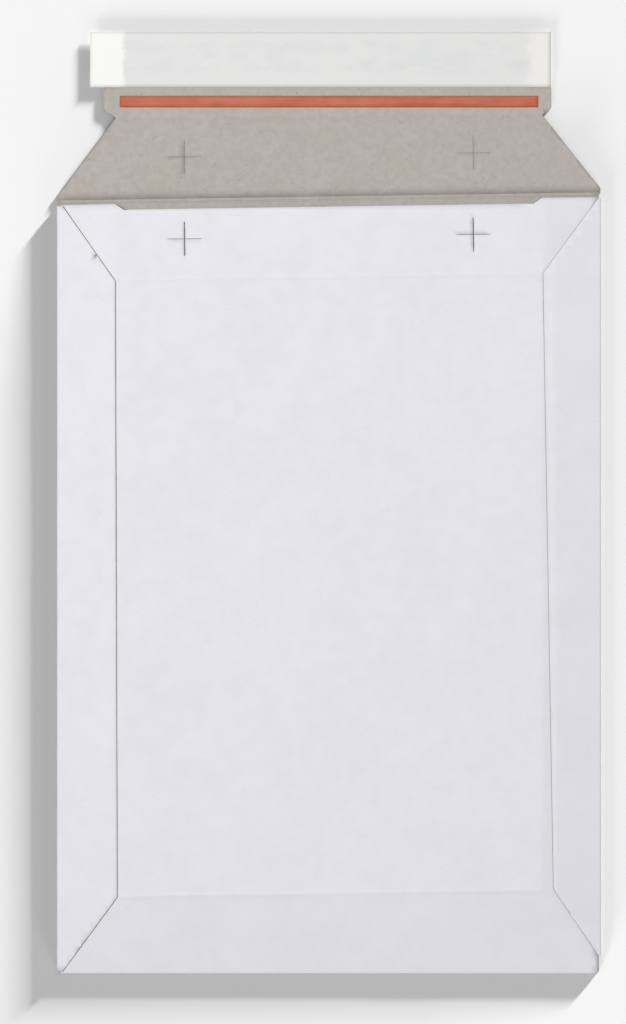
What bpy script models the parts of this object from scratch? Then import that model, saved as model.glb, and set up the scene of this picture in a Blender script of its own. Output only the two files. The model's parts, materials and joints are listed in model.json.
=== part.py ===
"""Board mailer folded from one blank, with a self-seal closing flap that lies open.

The mailer lies on its back: +Z out of the front panel, +Y towards the closing flap. The origin is
at the middle of its footprint, on the surface that it lies on. All sizes are in metres.
"""

from math import acos, atan2, cos, pi, radians, sin, tan

import bmesh
import bpy
from mathutils import Matrix, Vector

# Board and films
BOARD = 0.0006
FILM = 0.0001
FILM_GAP = 0.0002  # a stuck film's clearance to what it is stuck on
GLUE_SINK = 0.0001  # how far a glued layer is pressed into the one below

# Pocket
POCKET_WIDTH = 0.2500
POCKET_LENGTH = 0.3566  # bottom fold to closing crease, on the centre line
FOLD_GAP = 0.0005  # room between back and front along the side and bottom folds
MIDDLE_GAP = 0.0050  # the same under the raised panel of the front
MOUTH_GAP = 0.0045  # the same at the mouth
EDGE_CLEARANCE = 0.0005  # front panel's side edge to the start of the side fold
LEAN = radians(0.85)  # the creases' slope against the bottom fold
BEND_STEPS = 8

# Front panel
MOUTH_SETBACK = 0.0017  # closing crease to the front panel's top edge
TOP_STRIP = 0.0349
BOTTOM_STRIP = 0.0373
NOTCH_INSET = 0.0313  # pocket's side to the notch's lower corner
NOTCH_DEPTH = 0.0026
NOTCH_SLOPE = 0.0037
BEAD_HEIGHT = 0.00015
BEAD_WIDTH = 0.0020
BEAD_FADE = 0.0040

# Side flaps: widths at the lower and the upper end, and how far short of the bottom fold and the
# mouth they stop
LEFT_FLAP_LOW, LEFT_FLAP_HIGH = 0.0282, 0.0273
RIGHT_FLAP_LOW, RIGHT_FLAP_HIGH = 0.0222, 0.0270
LEFT_CREASE = 0.0283
RIGHT_CREASE = 0.0273
LEFT_STOP_LOW, RIGHT_STOP_LOW = 0.0012, 0.0085
STOP_HIGH = 0.0004
LEFT_TIP, RIGHT_TIP = 0.0020, 0.0004  # width of the blunt end beside the fold
CORNER_SPREAD = 0.0009  # how far the back's raw corner below the right side flap runs outwards

# Closing flap
HINGE_GAP = 0.0003
ROOT_INSET = 0.0003  # pocket's side to the flap's root
ROOT_SIDE = 0.0026
FLAP_RISE = 0.0374  # closing crease to lip crease, on the centre line
LIP_LEAN = radians(0.45)
LIP_INSET = 0.0271  # pocket's side to the end of the lip crease
LIP_DEPTH = 0.0136
EAR_LEFT, EAR_RIGHT = 0.0060, 0.0042
EAR_SLOPE = radians(30)
EAR_LOW_RADIUS = 0.0026
EAR_HIGH_LEFT_RADIUS, EAR_HIGH_RIGHT_RADIUS = 0.0035, 0.0010
TONGUE_INSET_LEFT, TONGUE_INSET_RIGHT = 0.0037, 0.0069  # lip crease's end to tongue's side
TONGUE_DEPTH = 0.0241
TONGUE_RADIUS = 0.0030
CLOSED_CLEARANCE = 0.0003  # between the closed flap's films and the side flaps

# Cross cuts for paper fasteners
CROSS_SPACING = 0.1325
CROSS_ARM = 0.0078
CROSS_WIDTH = 0.0005
FRONT_CROSS_DROP = 0.0181  # below the closing crease
FLAP_CROSS_RISE = 0.0196  # above it

# Strips on the flap
TAPE_INSET = 0.0017  # from each end of the lip crease
TAPE_WIDTH = 0.0055
TAPE_BELOW_LIP_END = 0.0069
ADHESIVE_WIDTH = 0.0200
ADHESIVE_INSET = 0.0012  # from each side of the tongue
LINER_PAST_LEFT, LINER_PAST_RIGHT = 0.0156, 0.0110  # beyond the tongue's sides
LINER_WIDTH = 0.0255
LINER_OVERHANG = 0.0011  # beyond the tongue's end

# Colours as linear RGB
WHITE_BOARD = (0.80, 0.79, 0.83)
GREY_BOARD = (0.47, 0.44, 0.41)
RED_TAPE = (0.58, 0.16, 0.09)
ADHESIVE = (0.66, 0.66, 0.62)
WHITE_PAPER = (0.78, 0.78, 0.77)

# Places that follow from the sizes
HALF_LENGTH = (
    POCKET_LENGTH + FLAP_RISE + LIP_DEPTH + TONGUE_DEPTH + LINER_OVERHANG
) / 2
BOTTOM_Y = -HALF_LENGTH
CREASE_Y = BOTTOM_Y + POCKET_LENGTH
MOUTH_Y = CREASE_Y - MOUTH_SETBACK
TOP_CREASE_Y = MOUTH_Y - TOP_STRIP
BOTTOM_CREASE_Y = BOTTOM_Y + BOTTOM_STRIP
LIP_Y = CREASE_Y + FLAP_RISE
LIP_END_Y = LIP_Y + LIP_DEPTH
TONGUE_END_Y = LIP_END_Y + TONGUE_DEPTH
LINER_END_Y = TONGUE_END_Y + LINER_OVERHANG
HALF_ROOT = POCKET_WIDTH / 2 - ROOT_INSET
HALF_LIP = POCKET_WIDTH / 2 - LIP_INSET
TONGUE_LEFT = TONGUE_INSET_LEFT - HALF_LIP
TONGUE_RIGHT = HALF_LIP - TONGUE_INSET_RIGHT

# Heights of the board's middle surface
BACK_Z = BOARD / 2
FRONT_FOLD_Z = BACK_Z + BOARD + FOLD_GAP
SIDE_FLAP_FOLD_Z = FRONT_FOLD_Z + BOARD - GLUE_SINK
FRONT_RISE = MIDDLE_GAP - FOLD_GAP
MOUTH_SHARE = (MOUTH_GAP - FOLD_GAP) / FRONT_RISE
SIDE_BEND = (SIDE_FLAP_FOLD_Z - BACK_Z) / 2
BOTTOM_BEND = (FRONT_FOLD_Z - BACK_Z) / 2
SIDE_X = POCKET_WIDTH / 2 - SIDE_BEND - BOARD / 2
FRONT_X = SIDE_X - EDGE_CLEARANCE
BEND_Y = BOTTOM_Y + BOTTOM_BEND + BOARD / 2
LEFT_CREASE_X = LEFT_CREASE - POCKET_WIDTH / 2
RIGHT_CREASE_X = POCKET_WIDTH / 2 - RIGHT_CREASE

# The hinge axis lies half-way between the open flap's films and the closed flap's
FILM_TOP = BOARD + 2 * (FILM_GAP + FILM)
POCKET_TOP = SIDE_FLAP_FOLD_Z + FRONT_RISE + BOARD / 2
AXIS_Z = (POCKET_TOP + FILM_TOP + CLOSED_CLEARANCE) / 2


def leaned(y, x, lean=LEAN):
    """The height at x of a crease that passes the centre line at y."""
    return y + x * tan(lean)


def side_share(x):
    """How far up its slope a point over a side strip is, from 0 at the fold to 1 at the crease."""
    if x < 0:
        return (x + SIDE_X) / (LEFT_CREASE_X + SIDE_X)
    return (SIDE_X - x) / (SIDE_X - RIGHT_CREASE_X)


def front_height(x, y):
    """The height of the front panel's middle surface: a raised panel between four sloping strips."""
    bottom = (y - BEND_Y) / (leaned(BOTTOM_CREASE_Y, x) - BEND_Y)
    top = 1 - (1 - MOUTH_SHARE) * (y - leaned(TOP_CREASE_Y, x)) / TOP_STRIP
    share = min(1.0, side_share(x), bottom, top)
    return FRONT_FOLD_Z + FRONT_RISE * max(share, 0.0)


def rounded(corners, steps=5):
    """A closed outline through (x, y, radius) corners, with an arc where the radius isn't 0."""
    points = []
    for i, (x, y, radius) in enumerate(corners):
        here = Vector((x, y))
        before = (Vector(corners[i - 1][:2]) - here).normalized()
        after = (Vector(corners[(i + 1) % len(corners)][:2]) - here).normalized()
        if not radius:
            points.append(here)
            continue
        half = acos(max(-1.0, min(1.0, before.dot(after)))) / 2
        middle = here + (before + after).normalized() * radius / sin(half)
        first = here + before * radius / tan(half) - middle
        last = here + after * radius / tan(half) - middle
        start = atan2(first.y, first.x)
        turn = atan2(last.y, last.x) - start
        turn -= 2 * pi * round(turn / (2 * pi))
        for k in range(steps + 1):
            angle = start + turn * k / steps
            points.append(middle + Vector((cos(angle), sin(angle))) * radius)
    return points


def clear_scene():
    """Removes the objects that a new Blender file starts with."""
    for obj in list(bpy.data.objects):
        bpy.data.objects.remove(obj, do_unlink=True)


def make_collection(name):
    """A new collection in the scene."""
    collection = bpy.data.collections.new(name)
    bpy.context.scene.collection.children.link(collection)
    return collection


def make_material(name, colour, roughness):
    """A plain Principled material."""
    material = bpy.data.materials.new(name)
    material.use_nodes = True
    shader = material.node_tree.nodes["Principled BSDF"]
    shader.inputs["Base Color"].default_value = (*colour, 1)
    shader.inputs["Roughness"].default_value = roughness
    shader.inputs["Metallic"].default_value = 0
    material.diffuse_color = (*colour, 1)
    return material


def make_object(name, mesh, collection, material=None):
    """An object with a mesh, in a collection."""
    obj = bpy.data.objects.new(name, mesh)
    collection.objects.link(obj)
    if material:
        mesh.materials.append(material)
    return obj


def mesh_from(bm, name):
    """A mesh data block from a finished bmesh."""
    bmesh.ops.recalc_face_normals(bm, faces=bm.faces)
    mesh = bpy.data.meshes.new(name)
    bm.to_mesh(mesh)
    bm.free()
    return mesh


def plate(name, outline, low, high):
    """A mesh of a flat plate: a filled outline between two heights."""
    curve = bpy.data.curves.new(name, "CURVE")
    curve.dimensions = "2D"
    curve.fill_mode = "BOTH"
    curve.extrude = (high - low) / 2
    spline = curve.splines.new("POLY")
    spline.points.add(len(outline) - 1)
    for point, place in zip(spline.points, outline):
        point.co = (*place, 0, 1)
    spline.use_cyclic_u = True
    guide = bpy.data.objects.new(name, curve)
    bpy.context.scene.collection.objects.link(guide)
    evaluated = guide.evaluated_get(bpy.context.evaluated_depsgraph_get())
    mesh = bpy.data.meshes.new_from_object(evaluated)
    bpy.data.objects.remove(guide)
    bm = bmesh.new()
    bm.from_mesh(mesh)
    bpy.data.meshes.remove(mesh)
    bmesh.ops.remove_doubles(bm, verts=bm.verts, dist=1e-6)
    bmesh.ops.translate(bm, verts=bm.verts, vec=(0, 0, (high + low) / 2))
    return mesh_from(bm, name)


def cut(obj, cutter, fuse=False):
    """Takes a cutter's shape out of an object. With fuse, the object's own overlaps become one."""
    modifier = obj.modifiers.new(cutter.name, "BOOLEAN")
    modifier.operation = "DIFFERENCE"
    modifier.solver = "EXACT"
    modifier.use_self = fuse
    modifier.object = cutter


def make_cutter(name, outline, low, high, collection):
    """A hidden plate that cuts another object."""
    cutter = make_object(name, plate(name, outline, low, high), collection)
    cutter.display_type = "WIRE"
    cutter.hide_render = True
    return cutter


def cross_outline(x, y):
    """The outline of a cross cut centred at a point, square to the creases."""
    half = CROSS_WIDTH / 2
    arm = [(half, half), (CROSS_ARM, half), (CROSS_ARM, -half)]
    points = []
    for quarter in range(4):
        turn = Matrix.Rotation(LEAN - quarter * pi / 2, 2)
        points += [Vector((x, y)) + turn @ Vector(place) for place in arm]
    return points


def crosses(name, from_crease, low, high, collection):
    """The two cutters of a panel's cross cuts, at a distance from the closing crease."""
    cutters = []
    for side, word in ((-1, "left"), (1, "right")):
        x = side * CROSS_SPACING / 2
        y = leaned(CREASE_Y + from_crease, x)
        outline = cross_outline(x, y)
        cutters.append(make_cutter(f"{name}_{word}", outline, low, high, collection))
    return cutters


def split(edge, vert, *targets):
    """Puts new vertices on an edge at the target points, in order from vert, and returns them."""
    made = []
    for target in targets:
        other = edge.other_vert(vert)
        edge, new = bmesh.utils.edge_split(edge, other, 0.5)
        new.co = target
        edge = next(e for e in new.link_edges if other in e.verts)
        vert = new
        made.append(new)
    return made


def edge_between(a, b):
    """The edge that joins two vertices."""
    return next(e for e in a.link_edges if b in e.verts)


def bend(bm, edge, centre, axis, angle):
    """Spins an edge round a fold and returns the edge at its end."""
    spun = bmesh.ops.spin(
        bm,
        geom=[edge, *edge.verts],
        cent=centre,
        axis=axis,
        dvec=(0, 0, 0),
        angle=angle,
        steps=BEND_STEPS,
    )
    return next(g for g in spun["geom_last"] if isinstance(g, bmesh.types.BMEdge))


def extend(bm, edge, place):
    """Extrudes an edge and moves each new vertex to place(old position). Returns the new face."""
    grown = bmesh.ops.extrude_edge_only(bm, edges=[edge])["geom"]
    for vert in grown:
        if isinstance(vert, bmesh.types.BMVert):
            vert.co = place(vert.co)
    return next(g for g in grown if isinstance(g, bmesh.types.BMFace))


def crease_line(bm, faces, point, direction):
    """Cuts faces along an upright plane through a line, and returns all the faces."""
    normal = Vector((-direction[1], direction[0], 0))
    edges = {e for f in faces for e in f.edges}
    verts = {v for f in faces for v in f.verts}
    made = bmesh.ops.bisect_plane(
        bm,
        geom=[*faces, *edges, *verts],
        plane_co=(*point[:2], 0),
        plane_no=normal,
        dist=1e-7,
    )
    return [g for g in made["geom"] if isinstance(g, bmesh.types.BMFace)]


def build_back(bm):
    """The back panel, with a vertex where each fold ends. Returns the edges of its three folds."""
    bmesh.ops.create_grid(bm, x_segments=1, y_segments=1, size=1)
    corners = {}
    for vert in bm.verts:
        sides = (vert.co.x > 0, vert.co.y > 0)
        x = SIDE_X if sides[0] else -SIDE_X
        y = leaned(CREASE_Y - HINGE_GAP / 2, x) if sides[1] else BEND_Y
        vert.co = (x, y, BACK_Z)
        corners[sides] = vert
    corners[True, False].co.x += CORNER_SPREAD
    folds = []
    for right, stop in ((False, LEFT_STOP_LOW), (True, RIGHT_STOP_LOW)):
        low, high = corners[right, False], corners[right, True]
        x = high.co.x
        ends = split(
            edge_between(low, high),
            low,
            (x, BOTTOM_Y + stop, BACK_Z),
            (x, leaned(MOUTH_Y, x) - STOP_HIGH, BACK_Z),
        )
        folds.append(edge_between(*ends))
    low, high = corners[False, False], corners[True, False]
    ends = split(
        edge_between(low, high),
        low,
        (-FRONT_X, BEND_Y, BACK_Z),
        (FRONT_X, BEND_Y, BACK_Z),
    )
    folds.append(edge_between(*ends))
    return folds


def build_side_flap(bm, fold, side, low_width, high_width, tip):
    """A side fold and the mitred flap that it lays on the front panel."""
    centre = (side * SIDE_X, 0, BACK_Z + SIDE_BEND)
    edge = bend(bm, fold, centre, (0, -side, 0), pi)
    low_y, high_y = sorted(v.co.y for v in edge.verts)
    inner = {
        low_y: (low_width, leaned(BOTTOM_CREASE_Y, side * SIDE_X)),
        high_y: (high_width, leaned(TOP_CREASE_Y, side * SIDE_X)),
    }

    def place(co):
        width, y = inner[low_y if co.y < (low_y + high_y) / 2 else high_y]
        return Vector((side * (POCKET_WIDTH / 2 - width), y, co.z))

    outer = list(edge.verts)
    face = extend(bm, edge, place)
    for vert in outer:
        across = next(e for e in vert.link_edges if e in face.edges[:] and e != edge)
        (blunt,) = split(across, vert, vert.co - Vector((side * tip, 0, 0)))
        blunt.co.z = SIDE_FLAP_FOLD_Z
    for vert in face.verts:
        share = side_share(vert.co.x)
        vert.co.z = SIDE_FLAP_FOLD_Z + FRONT_RISE * share


def build_front(bm, fold):
    """The bottom fold and the front panel, cut along its creases and raised between them."""
    centre = (0, BEND_Y, BACK_Z + BOTTOM_BEND)
    edge = bend(bm, fold, centre, (-1, 0, 0), pi)
    face = extend(bm, edge, lambda co: Vector((co.x, leaned(MOUTH_Y, co.x), co.z)))
    across, along = (cos(LEAN), sin(LEAN)), (0, 1)
    faces = [face]
    for x in (LEFT_CREASE_X, RIGHT_CREASE_X):
        faces = crease_line(bm, faces, (x, 0), along)
    sides = {-1: LEFT_CREASE_X, 1: RIGHT_CREASE_X}
    for side, crease_x in sides.items():
        strip = [f for f in faces if side * f.calc_center_median().x > abs(crease_x)]
        low = Vector((crease_x, leaned(BOTTOM_CREASE_Y, crease_x)))
        corner = Vector((side * SIDE_X, BEND_Y))
        strip = crease_line(bm, strip, corner, low - corner)
        high = Vector((crease_x, leaned(TOP_CREASE_Y, crease_x)))
        ridge_x = side * SIDE_X + (crease_x - side * SIDE_X) * MOUTH_SHARE
        mouth = Vector((ridge_x, leaned(MOUTH_Y, ridge_x)))
        strip = [f for f in strip if f.calc_center_median().y > low.y]
        crease_line(bm, strip, high, mouth - high)
    middle = [
        f
        for f in faces
        if f.is_valid and LEFT_CREASE_X < f.calc_center_median().x < RIGHT_CREASE_X
    ]
    for y in (BOTTOM_CREASE_Y, TOP_CREASE_Y):
        for shift in (-BEAD_WIDTH / 2, 0, BEAD_WIDTH / 2):
            middle = crease_line(bm, middle, (0, y + shift), across)
    bead = [
        f for f in middle if max(v.co.y for v in f.verts) - min(v.co.y for v in f.verts)
        < TOP_STRIP / 2
    ]
    for x in (LEFT_CREASE_X + BEAD_FADE, RIGHT_CREASE_X - BEAD_FADE):
        bead = crease_line(bm, bead, (x, 0), along)
    for vert in bm.verts:
        if vert.co.z < FRONT_FOLD_Z - 1e-6 or abs(vert.co.x) > FRONT_X + 1e-6:
            continue
        if vert.co.z > FRONT_FOLD_Z + 1e-6:
            continue
        x, y = vert.co.x, vert.co.y
        vert.co.z = front_height(x, y)
        inside = LEFT_CREASE_X + 1e-5 < x < RIGHT_CREASE_X - 1e-5
        on_crease = min(
            abs(y - leaned(BOTTOM_CREASE_Y, x)), abs(y - leaned(TOP_CREASE_Y, x))
        )
        if inside and on_crease < 1e-5:
            vert.co.z += BEAD_HEIGHT


def build_pocket(parts, cutters, material):
    """The folded pocket: one sheet of board, given its thickness and cut at the mouth."""
    bm = bmesh.new()
    left, right, bottom = build_back(bm)
    build_front(bm, bottom)
    build_side_flap(bm, left, -1, LEFT_FLAP_LOW, LEFT_FLAP_HIGH, LEFT_TIP)
    build_side_flap(bm, right, 1, RIGHT_FLAP_LOW, RIGHT_FLAP_HIGH, RIGHT_TIP)
    pocket = make_object("pocket", mesh_from(bm, "pocket"), parts, material)
    board = pocket.modifiers.new("board", "SOLIDIFY")
    board.thickness = BOARD
    board.offset = 0
    board.use_even_offset = True
    board.use_quality_normals = True
    low, high = FRONT_FOLD_Z + BOARD, POCKET_TOP + BOARD
    half = POCKET_WIDTH / 2 - NOTCH_INSET
    notch = [
        (-half, -NOTCH_DEPTH),
        (half, -NOTCH_DEPTH),
        (half + 2 * NOTCH_SLOPE, NOTCH_DEPTH),
        (-half - 2 * NOTCH_SLOPE, NOTCH_DEPTH),
    ]
    outline = [(x, leaned(MOUTH_Y + y, x)) for x, y in notch]
    cut(pocket, make_cutter("mouth_notch", outline, low, high, cutters), fuse=True)
    for cutter in crosses("front_cross", -FRONT_CROSS_DROP, low, high, cutters):
        cut(pocket, cutter)
    return pocket


def flap_corners():
    """The closing flap's outline as (x, y, radius) corners, anticlockwise from the left root."""
    root = CREASE_Y + HINGE_GAP / 2
    left = [
        (-HALF_ROOT, leaned(root, -HALF_ROOT), 0),
        (-HALF_ROOT, leaned(root, -HALF_ROOT) + ROOT_SIDE, 0),
        (-HALF_LIP, leaned(LIP_Y, -HALF_LIP, LIP_LEAN), 0),
        (
            -HALF_LIP - EAR_LEFT,
            leaned(LIP_Y, -HALF_LIP, LIP_LEAN) + EAR_LEFT * tan(EAR_SLOPE),
            EAR_LOW_RADIUS,
        ),
        (-HALF_LIP - EAR_LEFT, LIP_END_Y, EAR_HIGH_LEFT_RADIUS),
        (TONGUE_LEFT, LIP_END_Y, 0),
        (TONGUE_LEFT, TONGUE_END_Y, TONGUE_RADIUS),
    ]
    right = [
        (HALF_ROOT, leaned(root, HALF_ROOT), 0),
        (HALF_ROOT, leaned(root, HALF_ROOT) + ROOT_SIDE, 0),
        (HALF_LIP, leaned(LIP_Y, HALF_LIP, LIP_LEAN), 0),
        (
            HALF_LIP + EAR_RIGHT,
            leaned(LIP_Y, HALF_LIP, LIP_LEAN) + EAR_RIGHT * tan(EAR_SLOPE),
            EAR_LOW_RADIUS,
        ),
        (HALF_LIP + EAR_RIGHT, LIP_END_Y, EAR_HIGH_RIGHT_RADIUS),
        (TONGUE_RIGHT, LIP_END_Y, 0),
        (TONGUE_RIGHT, TONGUE_END_Y, TONGUE_RADIUS),
    ]
    return right + left[::-1]


def build_flap(parts, cutters, material):
    """The closing flap: a plate with a raised bead along the lip crease and two cross cuts."""
    mesh = plate("closing_flap", rounded(flap_corners()), 0, BOARD)
    bm = bmesh.new()
    bm.from_mesh(mesh)
    direction = (cos(LIP_LEAN), sin(LIP_LEAN))
    for shift in (-BEAD_WIDTH / 2, 0, BEAD_WIDTH / 2):
        crease_line(bm, bm.faces[:], (0, LIP_Y + shift), direction)
    for vert in bm.verts:
        if abs(vert.co.y - leaned(LIP_Y, vert.co.x, LIP_LEAN)) < 1e-6:
            vert.co.z += BEAD_HEIGHT
    bm.to_mesh(mesh)
    bm.free()
    flap = make_object("closing_flap", mesh, parts, material)
    for cutter in crosses("flap_cross", FLAP_CROSS_RISE, -BOARD, 2 * BOARD, cutters):
        cut(flap, cutter)
    return flap


def build_strip(name, left, right, low_y, high_y, base, parts, material):
    """A thin flat strip on the closing flap."""
    bm = bmesh.new()
    bmesh.ops.create_cube(bm, size=1)
    bmesh.ops.scale(bm, verts=bm.verts, vec=(right - left, high_y - low_y, FILM))
    strip = make_object(name, mesh_from(bm, name), parts, material)
    strip.location = ((left + right) / 2, (low_y + high_y) / 2, base + FILM / 2)
    return strip


def build_strips(parts):
    """The tear tape on the lip, and the adhesive and its release paper on the tongue."""
    film_base = BOARD + FILM_GAP
    tape_y = LIP_END_Y - TAPE_BELOW_LIP_END
    tape = build_strip(
        "tear_tape",
        TAPE_INSET - HALF_LIP,
        HALF_LIP - TAPE_INSET,
        tape_y - TAPE_WIDTH / 2,
        tape_y + TAPE_WIDTH / 2,
        film_base,
        parts,
        make_material("tear_tape", RED_TAPE, 0.35),
    )
    adhesive_y = (LIP_END_Y + TONGUE_END_Y) / 2
    adhesive = build_strip(
        "adhesive_strip",
        TONGUE_LEFT + ADHESIVE_INSET,
        TONGUE_RIGHT - ADHESIVE_INSET,
        adhesive_y - ADHESIVE_WIDTH / 2,
        adhesive_y + ADHESIVE_WIDTH / 2,
        film_base,
        parts,
        make_material("adhesive", ADHESIVE, 0.3),
    )
    liner = build_strip(
        "release_liner",
        TONGUE_LEFT - LINER_PAST_LEFT,
        TONGUE_RIGHT + LINER_PAST_RIGHT,
        LINER_END_Y - LINER_WIDTH,
        LINER_END_Y,
        film_base + FILM + FILM_GAP,
        parts,
        make_material("release_paper", WHITE_PAPER, 0.45),
    )
    return [tape, adhesive, liner]


def hang_on_crease(pieces, parts):
    """Parents the flap's pieces to an empty on the closing crease's axis."""
    axis = bpy.data.objects.new("closing_crease", None)
    parts.objects.link(axis)
    axis.location = (0, CREASE_Y, AXIS_Z)
    axis.rotation_euler = (0, 0, LEAN)
    place = Matrix.Translation(axis.location) @ Matrix.Rotation(LEAN, 4, "Z")
    for piece in pieces:
        piece.parent = axis
        piece.matrix_parent_inverse = place.inverted()


def main():
    """Builds the mailer."""
    clear_scene()
    parts = make_collection("board_mailer")
    cutters = make_collection("cutters")
    white = make_material("white_board", WHITE_BOARD, 0.6)
    grey = make_material("grey_board", GREY_BOARD, 0.9)
    build_pocket(parts, cutters, white)
    flap = build_flap(parts, cutters, grey)
    hang_on_crease([flap, *build_strips(parts)], parts)


main()
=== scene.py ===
"""Look of a board mailer that lies open on its back, white board outside and grey board inside."""

import json
import logging
from collections.abc import Callable, Iterable, Sequence
from dataclasses import dataclass
from enum import Enum
from math import acos, atan2, ceil, cos, pi, radians, sin, tan

import bmesh
import bpy
from mathutils import Matrix, Vector


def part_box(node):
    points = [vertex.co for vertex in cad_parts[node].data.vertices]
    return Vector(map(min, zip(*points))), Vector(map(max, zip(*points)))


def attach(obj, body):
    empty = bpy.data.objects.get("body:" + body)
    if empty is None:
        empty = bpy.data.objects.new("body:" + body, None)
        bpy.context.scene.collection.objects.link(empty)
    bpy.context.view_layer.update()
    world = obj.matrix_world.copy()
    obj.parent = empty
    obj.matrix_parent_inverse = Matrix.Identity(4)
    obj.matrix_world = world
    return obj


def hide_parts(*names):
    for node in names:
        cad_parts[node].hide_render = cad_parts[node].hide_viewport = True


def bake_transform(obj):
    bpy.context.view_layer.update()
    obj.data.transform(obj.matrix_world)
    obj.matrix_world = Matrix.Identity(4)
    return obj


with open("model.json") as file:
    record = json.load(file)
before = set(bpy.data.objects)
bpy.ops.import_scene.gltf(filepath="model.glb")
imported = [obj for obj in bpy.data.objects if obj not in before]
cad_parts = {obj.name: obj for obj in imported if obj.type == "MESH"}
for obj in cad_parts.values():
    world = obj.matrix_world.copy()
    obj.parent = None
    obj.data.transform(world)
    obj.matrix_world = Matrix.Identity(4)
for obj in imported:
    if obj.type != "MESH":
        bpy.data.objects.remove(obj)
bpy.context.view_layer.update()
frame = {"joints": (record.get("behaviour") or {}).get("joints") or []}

log = logging.getLogger("mailer")


CREASE_SHIFTS = (-0.0016, -0.0010, -0.0005, 0.0, 0.0005, 0.0010, 0.0016)
FOLD_STEPS = 10


class Side(Enum):
    """Left and right as the front is seen with the flap at the top."""

    LEFT = -1
    RIGHT = 1


class Panel(Enum):
    """The blank's areas, kept on each face while the board is folded."""

    BACK = 1
    FOLD = 2
    FRONT = 3
    LEFT_FLAP = 4
    RIGHT_FLAP = 5
    CLOSING = 6


class Ply(Enum):
    """The board's three kinds of surface, in the order of a piece's material slots."""

    OUTSIDE = 0
    INSIDE = 1
    EDGE = 2


# Node trees


class Field:
    """A value in a node tree that can be reckoned with like a number."""

    def __init__(self, tree: bpy.types.NodeTree, socket: bpy.types.NodeSocket) -> None:
        """Wraps a node's output socket."""
        self.tree = tree
        self.socket = socket

    def math(self, operation: str, *others: "Field | float", clamp: bool = False) -> "Field":
        """Adds a Math node.

        Args:
            operation: The Math node's operation.
            others: The node's second and third operands.
            clamp: Whether the result is kept from 0 to 1.

        Returns:
            The node's result.
        """
        node = self.tree.nodes.new("ShaderNodeMath")
        node.operation = operation
        node.use_clamp = clamp
        for socket, value in zip(node.inputs, (self, *others)):
            plug(self.tree, value, socket)
        return Field(self.tree, node.outputs[0])

    def __add__(self, other: "Field | float") -> "Field":
        """Self plus other."""
        return self.math("ADD", other)

    def __sub__(self, other: "Field | float") -> "Field":
        """Self minus other."""
        return self.math("SUBTRACT", other)

    def __mul__(self, other: "Field | float") -> "Field":
        """Self times other."""
        return self.math("MULTIPLY", other)

    def __truediv__(self, other: "Field | float") -> "Field":
        """Self divided by other."""
        return self.math("DIVIDE", other)

    def flipped(self) -> "Field":
        """One minus self."""
        return self.math("MULTIPLY_ADD", -1.0, 1.0)

    def ramp(self, low: "Field | float", high: "Field | float") -> "Field":
        """A smooth step from 0 at low to 1 at high.

        Args:
            low: Where the step starts.
            high: Where it ends.

        Returns:
            The step.
        """
        node = self.tree.nodes.new("ShaderNodeMapRange")
        node.interpolation_type = "SMOOTHSTEP"
        plug(self.tree, self, node.inputs["Value"])
        plug(self.tree, low, node.inputs["From Min"])
        plug(self.tree, high, node.inputs["From Max"])
        return Field(self.tree, node.outputs["Result"])


def plug(tree: bpy.types.NodeTree, value: "Field | float", socket: bpy.types.NodeSocket) -> None:
    """Links a field to a socket, or sets a number on it.

    Args:
        tree: The node tree.
        value: What the socket gets.
        socket: The input socket.
    """
    if isinstance(value, Field):
        tree.links.new(value.socket, socket)
    else:
        socket.default_value = value


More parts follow.
